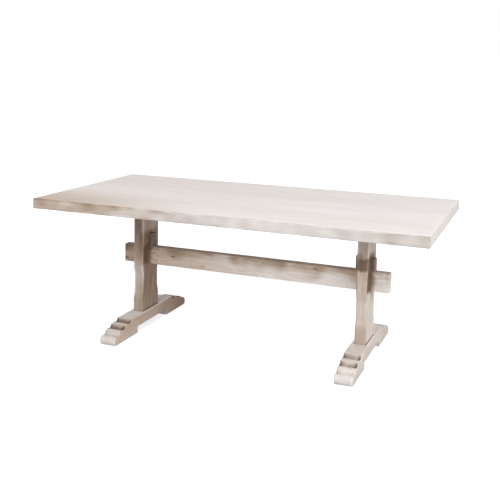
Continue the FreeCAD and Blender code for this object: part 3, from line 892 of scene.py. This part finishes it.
def floor_finish():
    """Pale grey to the light, and a glow for the camera alone, which makes it white."""
    material, tree, shader = start_material("pale_floor")
    shader.inputs["Base Color"].default_value = (*FLOOR_COLOUR, 1.0)
    shader.inputs["Roughness"].default_value = 1.0
    shader.inputs["Specular IOR Level"].default_value = 0.0
    from_middle = add_node(tree, "ShaderNodeVectorMath", {0: object_place(tree)}, operation="LENGTH")
    glow = ease_between(tree, from_middle.outputs["Value"], WHITE_FROM, WHITE_BY, FLOOR_GLOW_NEAR,
                        FLOOR_GLOW_FAR)
    path = add_node(tree, "ShaderNodeLightPath")
    seen_glow = calc(tree, "MULTIPLY", path.outputs["Is Camera Ray"], glow)
    shader.inputs["Emission Color"].default_value = (1.0, 1.0, 1.0, 1.0)
    link_or_set(tree, shader.inputs["Emission Strength"], seen_glow)
    return material


def make_floor():
    """A wide floor. The camera sees it white, apart from the table's soft shadow."""
    mesh = bmesh.new()
    bmesh.ops.create_grid(mesh, x_segments=1, y_segments=1, size=FLOOR_HALF_WIDTH)
    bmesh.ops.translate(mesh, vec=(0.0, 0.0, -FLOOR_DROP), verts=mesh.verts)
    data = bpy.data.meshes.new("floor")
    mesh.to_mesh(data)
    mesh.free()
    data.materials.append(floor_finish())
    floor = bpy.data.objects.new("floor", data)
    bpy.context.scene.collection.objects.link(floor)


def make_world():
    """Even light from all round, and a white background for the camera and for reflections."""
    world = bpy.data.worlds.new("studio")
    world.use_nodes = True
    tree = world.node_tree
    background = tree.nodes["Background"]
    path = add_node(tree, "ShaderNodeLightPath")
    seen = calc(tree, "MAXIMUM", path.outputs["Is Camera Ray"], path.outputs["Is Glossy Ray"])
    seen = calc(tree, "MAXIMUM", seen, path.outputs["Is Transmission Ray"])
    background.inputs["Color"].default_value = (1.0, 1.0, 1.0, 1.0)
    strength = ease_between(tree, seen, 0.0, 1.0, WORLD_LIGHT, 1.0)
    link_or_set(tree, background.inputs["Strength"], strength)
    bpy.context.scene.world = world


def add_softbox(name, turn, height, size, level):
    """A square soft box, turned from +X towards +Y. Its level is its light on a face towards it."""
    direction = Vector((math.cos(height) * math.cos(turn), math.cos(height) * math.sin(turn),
                        math.sin(height)))
    place = TABLE_MIDDLE + SOFTBOX_DISTANCE * direction
    light = bpy.data.lights.new(name, "AREA")
    light.shape = "SQUARE"
    light.size = size
    light.energy = level * (math.pi * SOFTBOX_DISTANCE) ** 2
    lamp = bpy.data.objects.new(name, light)
    facing = (TABLE_MIDDLE - place).to_track_quat("-Z", "Y")
    lamp.matrix_world = Matrix.Translation(place) @ facing.to_matrix().to_4x4()
    bpy.context.scene.collection.objects.link(lamp)


def make_lights():
    add_softbox("right_softbox", turn=math.radians(-14), height=math.radians(25), size=2.6, level=0.50)
    add_softbox("front_softbox", turn=math.radians(-97), height=math.radians(31), size=2.2, level=0.58)


def make_camera():
    """The photograph's camera. Its shift is the photograph's own framing."""
    data = bpy.data.cameras.new("camera")
    data.sensor_width = CAMERA_SENSOR
    data.lens = CAMERA_LENS
    data.shift_y = CAMERA_SHIFT
    camera = bpy.data.objects.new("camera", data)
    ahead = Vector((math.sin(CAMERA_YAW) * math.cos(CAMERA_PITCH),
                    math.cos(CAMERA_YAW) * math.cos(CAMERA_PITCH), -math.sin(CAMERA_PITCH)))
    right = Vector((math.cos(CAMERA_YAW), -math.sin(CAMERA_YAW), 0.0))
    up = right.cross(ahead)
    rolled_right = right * math.cos(CAMERA_ROLL) + up * math.sin(CAMERA_ROLL)
    rolled_up = up * math.cos(CAMERA_ROLL) - right * math.sin(CAMERA_ROLL)
    turn = Matrix((rolled_right, rolled_up, -ahead)).transposed()
    camera.matrix_world = Matrix.Translation(CAMERA_PLACE) @ turn.to_4x4()
    bpy.context.scene.collection.objects.link(camera)
    bpy.context.scene.camera = camera


make_top()
make_left_trestle()
make_right_trestle()
make_stretcher()
finish_hidden_parts()
make_floor()
make_world()
make_lights()
make_camera()
bpy.context.scene.view_settings.view_transform = "Standard"
